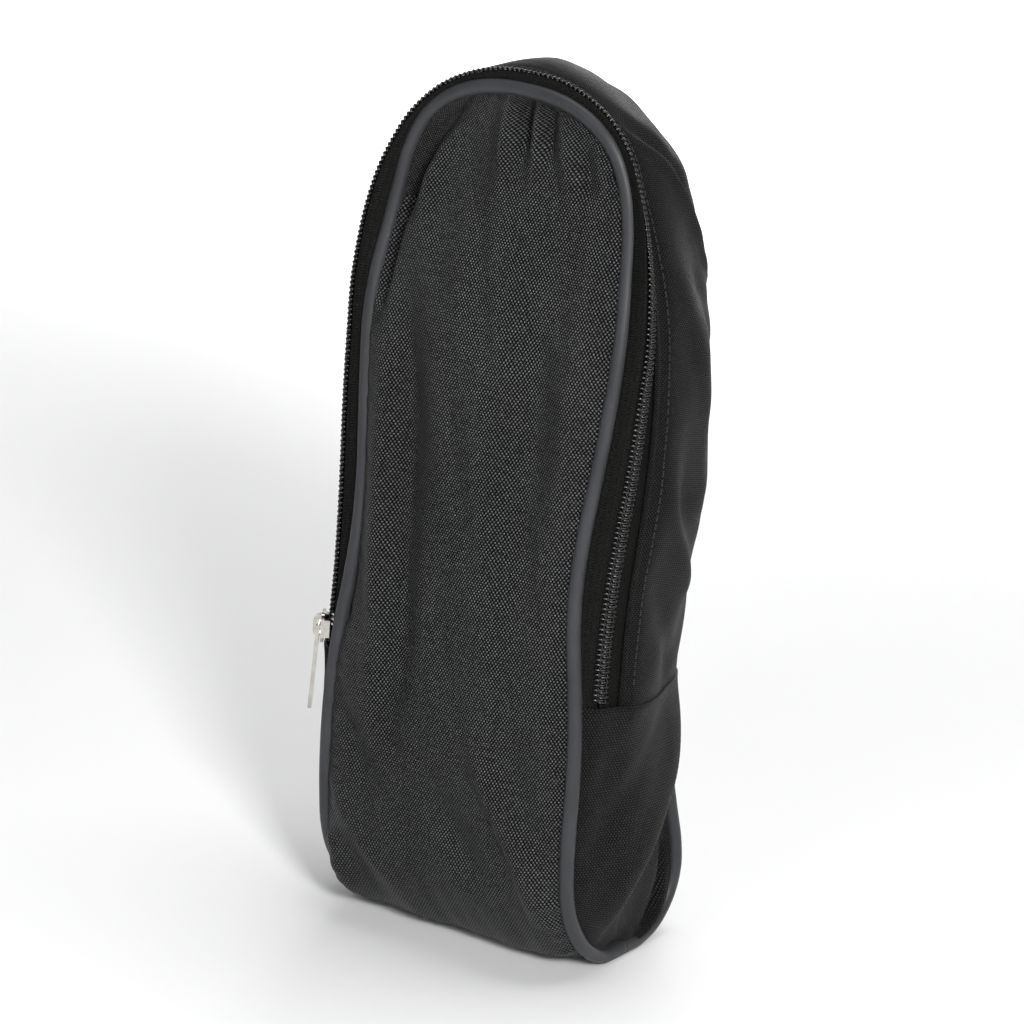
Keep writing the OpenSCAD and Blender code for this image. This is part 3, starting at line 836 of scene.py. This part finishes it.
def gusset_points(f, cols):
    """Points of the gusset strip, rows along the zip and columns from the hem to the rear seam."""
    hem = hem_points(f)
    start = hem[:, -1]
    chord = over_top(rear, rear_top, f) - start
    centre, along, _, _ = zip_frame(f)
    out = unit(np.cross(along, unit(chord)))
    outside = centre * np.array([1, 0, 1]) - np.array([0, 0, 262])
    out *= np.sign(np.sum(out * outside, axis=1))[:, None]

    w = np.linspace(0, 1, cols)[None, :]
    at_crown = np.exp(-((f - 0.5) / 0.16) ** 2)[:, None]
    height = from_pairs(GUSSET_BULGE, np.abs(2 * f - 1))[:, None]
    bulge = height * np.sin(math.pi * w ** (0.8 - 0.06 * at_crown)) ** 0.62

    place = (2 * f - 1)[:, None] * zip_top + 0 * w
    across = w * GUSSET_SPAN + 0 * place
    from_rear = GUSSET_SPAN - across
    relief = ridges(GUSSET_FOLDS, place, across)
    relief += soft_noise(place, across, [(70, 45, 0.5), (30, 25, 0.2)], 12)
    relief *= 1 - np.exp(-np.minimum(across, from_rear) / 5.0)
    relief += puckers(place, from_rear, 4, [(10, 0.3), (6, 0.2)], 15)
    body = start[:, None] + chord[:, None] * w[..., None] + out[:, None] * (bulge + relief)[..., None]
    return np.concatenate([hem[:, :-1], body], axis=1)


def gusset_strip():
    """The strip over the top and down both sides; returns its points for what is sewn to it."""
    f = np.linspace(0, 1, 380)
    p = gusset_points(f, 60)
    widths = np.linalg.norm(np.diff(p, axis=1), axis=2)
    across = np.concatenate([np.zeros((len(f), 1)), np.cumsum(widths, axis=1)], axis=1)
    length = 2 * zip_top
    uv = np.stack([across, np.broadcast_to((f * length)[:, None], across.shape)], axis=-1)
    obj = cloth("gusset_strip_cloth", p, uv, CLOTH_T, p - BAG_HEART)
    finish_piece(obj, fabric_gusset_painted_darker, ("gusset_strip",))
    return p


# folds of a lower gusset piece laid flat, whose points are the distance across from the front seam and the
# distance down from the top edge
END_FOLDS = [
    (-2.5, 4, 5, [(88, 22), (74, 38)]),
    (5.6, 12, 2.6, [(84, 4), (66, 24), (48, 40), (30, 58), (12, 80)]),
    (-6.0, 3, 20, [(82, 20), (64, 42), (48, 60), (34, 78)]),
    (-5.5, 2.6, 2.6, [(82, 58), (76, 72), (68, 86)]),
    (3.6, 4, 5, [(86, 74), (77, 88), (66, 98)]),
    (-1.2, 4, 6, [(14, 84), (24, 94), (38, 102)]),
    (-1.4, 7, 7, [(34, 6), (24, 22), (14, 44)]),
]


def end_height(side):
    """Height of the top edge of a lower gusset piece; the right one laps a little higher over the zip."""
    return ZIP_END_Z + (END_LAP if side > 0 else 0)


def end_place(side):
    """Place along the zip, from 0 to 1, where the top edge of a lower gusset piece crosses it."""
    return 0.5 + 0.5 * side * zip_half.where_z(end_height(side)) / zip_top


def end_top_row(side, strip, cols):
    """Top edge of a lower gusset piece: from the front piping over the zip's end and along the strip."""
    place = end_place(side)
    centre, _, u, v = (axis[0] for axis in zip_frame(np.array([place])))
    at_piping = front.at(front.where_z(end_height(side))) * np.array([side, 1, 1])
    over_zip = [centre + du * u + dv * v for du, dv in ((-5.6, 0.4), (-3.2, 1.6), (0, 2.3), (4, 1.9))]
    strip_row = strip[int(round(place * (len(strip) - 1)))]
    top = np.vstack([at_piping, *over_zip, strip_row[len(HEM_FOLD):]])
    s = arc_length(top)
    even = np.linspace(0, s[-1], cols)
    return smoothed(np.stack([np.interp(even, s, top[:, k]) for k in range(3)], axis=1), 7)


def gusset_end(side, strip):
    """Lower gusset piece between the two seams; its top edge lies over the ends of the zip and the strip."""
    rows, cols = 84, 64
    mirror = np.array([side, 1, 1])
    w = np.linspace(0, 1, cols)
    # it stops just short of the middle of the base, where the front and rear piping meet
    r = 0.985 * np.linspace(0, 1, rows) ** 0.9
    front_start, rear_start = front.where_z(end_height(side)), rear.where_z(end_height(side))
    a = front.at(front_start + r * (front.length - front_start)) * mirror
    b = rear.at(rear_start + r * (rear.length - rear_start)) * mirror
    chord = a[:, None] * (1 - w[None, :, None]) + b[:, None] * w[None, :, None]

    # the shape of the top edge fades out on the way down
    offset = end_top_row(side, strip, cols) - chord[0]
    spread = np.linalg.norm(b - a, axis=1) / np.linalg.norm(b[0] - a[0])
    keep = (1 - r) ** 1.3 * np.minimum(spread, 1)
    p = chord + offset[None] * keep[:, None, None]

    across = w[None, :] * END_FLAT_W + 0 * r[:, None]
    down = r[:, None] * END_FLAT_L + 0 * across
    from_bottom = END_FLAT_L - down
    rim = np.minimum(across, END_FLAT_W - across)
    relief = 1.25 * ridges(END_FOLDS, across, down)
    relief += soft_noise(across, down, [(36, 50, 0.5), (18, 22, 0.2)], 21)
    relief += 3.0 * np.sin(math.pi * w)[None, :] * np.sin(math.pi * r)[:, None]
    relief *= (1 - np.exp(-rim / 5.0)) * (1 - np.exp(-from_bottom / 12.0)) * (1 - np.exp(-down / 6.0))
    seam_step = 0.9 * np.exp(-down / 5.0) * (1 - np.exp(-rim / 4.0))
    p[..., 0] += side * (relief + seam_step)

    name = "right" if side > 0 else "left"
    uv = np.stack([across * 0.95, from_bottom], axis=-1)
    obj = cloth(f"gusset_end_{name}_cloth", p, uv, CLOTH_T, np.array([side, 0, 0]) + 0 * p)
    finish_piece(obj, fabric_gusset_painted_darker, (f"gusset_end_{name}",))


# ------------------------------------------------------------------ piping and bindings

def both_sides(line):
    """The whole of a seam line, from the base on the left over the crown to the base on the right."""
    left = line.p[::-1] * MIRROR_X
    return np.vstack([left[:-1], line.p])


def ring_axes(p):
    """Across and inward directions at each point of a seam."""
    heart = np.stack([np.zeros(len(p)), np.zeros(len(p)), np.clip(p[:, 2], 60, 262)], axis=1)
    inside = unit(heart - p)
    along = unit(np.gradient(p, axis=0))
    across = unit(np.cross(along, inside))
    return across, np.cross(across, along)


def bead(name, line, nodes, bend=None):
    """Round piping bead along a whole seam."""
    p = both_sides(line)
    obj = sweep(name, p, *ring_axes(p), circle(BEAD_R, 20))
    finish_piece(obj, piping_vinyl, nodes, bend)


# half of the folded binding tape in section: (away from the seam's plane, into the bag)
BINDING_FOLD = [(2.5, 2.0), (1.5, 3.7), (1.1, 6.5), (1.15, 9.2), (0.75, 12.2), (0.3, 12.7)]


def binding(name, line, nodes, bend=None):
    """Raw edges of the seam inside the bag, wrapped in a soft tape folded lengthwise over them."""
    p = both_sides(line)
    across, inward = ring_axes(p)
    half = np.array(BINDING_FOLD)
    outer = np.vstack([half * np.array([-1, 1]), half[::-1]])
    side = unit(np.gradient(outer, axis=0))
    inner = outer + np.stack([side[:, 1], -side[:, 0]], axis=1) * BINDING_T
    ripple = soft_noise(arc_length(p), arc_length(p) * 0, [(26, ENDLESS, 0.5)], 31)
    obj = sweep(name, p + across * ripple[:, None], across, inward, np.vstack([outer, inner[::-1]]))
    finish_piece(obj, fabric_lining, nodes, bend)


# ------------------------------------------------------------------ zip

def tape_piece(name, p, knit_width, v, nodes, bend=None):
    """Zip tape from its outer points, with its real width at each row and the width of its knit pattern."""
    length = 2 * zip_top
    rows, cols = p.shape[:2]
    uv = np.stack(np.meshgrid(np.linspace(0, knit_width, cols), np.linspace(0, length, rows)), axis=-1)
    obj = cloth(name, p, uv, TAPE_T, v[:, None])
    finish_piece(obj, tape_cloth, nodes, bend)


def tape_front():
    """Front tape: flat under the coil, then falling back to the front seam."""
    f = np.linspace(0, 1, 360)
    centre, _, u, v = zip_frame(f)
    seam = over_top(front, front_top, f)
    away = unit(centre - 3.0 * u - seam)
    knots = np.stack([seam + away * 1.2, seam * 0.45 + (centre - 5.6 * u) * 0.55 - 0.3 * v,
                      centre - 5.0 * u + 0.05 * v, centre - 3.0 * u, centre - 0.4 * u], axis=1)
    t = np.linspace(0, 1, 14)
    place = np.linspace(0, 1, knots.shape[1])
    p = np.stack([[np.interp(t, place, row[:, k]) for k in range(3)] for row in knots]).transpose(0, 2, 1)
    for _ in range(3):
        p[:, 1:-1] = 0.25 * p[:, :-2] + 0.5 * p[:, 1:-1] + 0.25 * p[:, 2:]
    tape_piece("zip_tape_front_cloth", p, 9, v,
               ("zip_tape_front", "zip_tape_front_ends"), ZIP_BEND)


def tape_rear():
    """Rear tape: from under the coil to its hidden edge inside the gusset's hem."""
    f = np.linspace(0, 1, 360)
    centre, _, u, v = zip_frame(f)
    reach = from_pairs(HEM_U, f) + 2.4
    t = np.linspace(0, 1, 10)[None, :, None]
    p = centre[:, None] + u[:, None] * (0.4 + (reach[:, None, None] - 0.4) * t) - v[:, None] * 1.6 * t ** 3
    tape_piece("zip_tape_rear_cloth", p, 10, v, ("zip_tape_rear",))


def tooth_template():
    """One loop of the coil: up from the tape, over to the middle, a broader head, and down."""
    path = [(-3.05, 0.00, 0.2), (-3.1, 0.0, 0.7), (-2.75, 0.02, 1.2), (-2.0, 0.06, 1.5), (-1.0, 0.1, 1.6),
            (-0.1, 0.12, 1.6), (0.55, 0.12, 1.45), (0.75, 0.12, 1.0), (0.55, 0.12, 0.5)]
    radii = [0.42, 0.44, 0.44, 0.43, 0.44, 0.52, 0.58, 0.55, 0.42]
    return tube_template(path, radii, 8)


def coil_thread_template(way):
    """The thread that sews one loop down, across the loop's flat top."""
    verts, faces = tube_template(
        [(0, -0.75, 0.9), (0, -0.45, 1.8), (0, 0.0, 2.0), (0, 0.45, 1.8), (0, 0.75, 0.9)],
        [0.2, 0.26, 0.28, 0.26, 0.2], 6)
    return verts + np.array([-1.75 * way, 0, 0]), faces


def coil_row(name, way, phase, nodes, bend=None):
    """One row of loops and its thread, shifted along the zip by phase as a share of the pitch.

    way is 1 for the front row and -1 for the rear one."""
    count = int(2 * zip_top / TOOTH_PITCH)
    f = (np.arange(count) + 0.25 + phase) / count
    # the loops stop where the lower gusset pieces cover the zip
    f = f[(f > end_place(-1) + 0.003) & (f < end_place(1) - 0.004)]
    centre, along, u, v = zip_frame(f)
    verts, faces = tooth_template()
    loops = copies(f"{name}_loops", verts * np.array([way, 1, 1]), faces, centre, u, along, v)
    finish_piece(loops, coil_nylon, nodes, bend)
    thread_row = copies(f"{name}_thread", *coil_thread_template(way), centre, u, along, v)
    finish_piece(thread_row, sewing_thread, bend=bend)


def hem_topstitch(strip):
    """The row of stitches that holds the gusset's folded hem to the rear tape, between the two end seams."""
    pitch, half_length, radius, sink = 3.4, 1.25, 0.28, 0.1
    hem_column = len(HEM_FOLD)
    first, last = 3, int(end_place(1) * (len(strip) - 1)) - 3
    row = strip[first:last, hem_column]
    outward = grid_normals(strip)[first:last, hem_column]
    outward *= np.sign(np.sum(outward * (row - BAG_HEART), axis=1))[:, None]

    s = arc_length(row)
    spots = np.arange(pitch / 2, s[-1] - pitch / 2, pitch)
    at, ahead, normal = (np.stack([np.interp(where, s, line[:, k]) for k in range(3)], axis=1)
                         for where, line in ((spots, row), (spots + 0.5, row), (spots, outward)))
    along = unit(ahead - at)
    side = unit(np.cross(along, normal))
    path = [(0, half_length * y, z) for y, z in
            ((-1, -0.5), (-0.8, 0.0), (-0.4, 0.22), (0, 0.28), (0.4, 0.22), (0.8, 0.0), (1, -0.5))]
    verts, faces = tube_template(path, radius * np.array([0.8, 1, 1, 1, 1, 1, 0.8]), 6)
    verts[:, 2] -= sink
    obj = copies("hem_topstitch", verts, faces, at, side, along, np.cross(side, along))
    finish_piece(obj, sewing_thread, ("zip_topstitch",))


def metal_parts():
    """The slider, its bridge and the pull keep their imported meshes, with softened edges."""
    for node in ("slider_body", "slider_bridge", "pull_tab"):
        obj = bpy.data.objects[node]
        obj.data.materials.clear()
        obj.data.materials.append(metal)
        bevel = obj.modifiers.new("soft_edges", "BEVEL")
        bevel.width = 0.25 * MM
        bevel.segments = 2
        bevel.limit_method = "ANGLE"


# ------------------------------------------------------------------ build

main_panel_front()
main_panel_back()
strip = gusset_strip()
for side in (-1, 1):
    gusset_end(side, strip)
bead("piping_front_bead", front, ("piping_flap",), PIPING_BEND)
bead("piping_rear_bead", rear, ("piping_body",))
binding("seam_binding_front_tape", front, ("seam_binding_flap",), PIPING_BEND)
binding("seam_binding_rear_tape", rear, ("seam_binding_back",))
tape_front()
tape_rear()
coil_row("zip_coil_front", 1, 0.0, ("zip_coil_front", "zip_coil_front_ends"), ZIP_BEND)
coil_row("zip_coil_rear", -1, 0.5, ("zip_coil_rear",))
hem_topstitch(strip)
metal_parts()
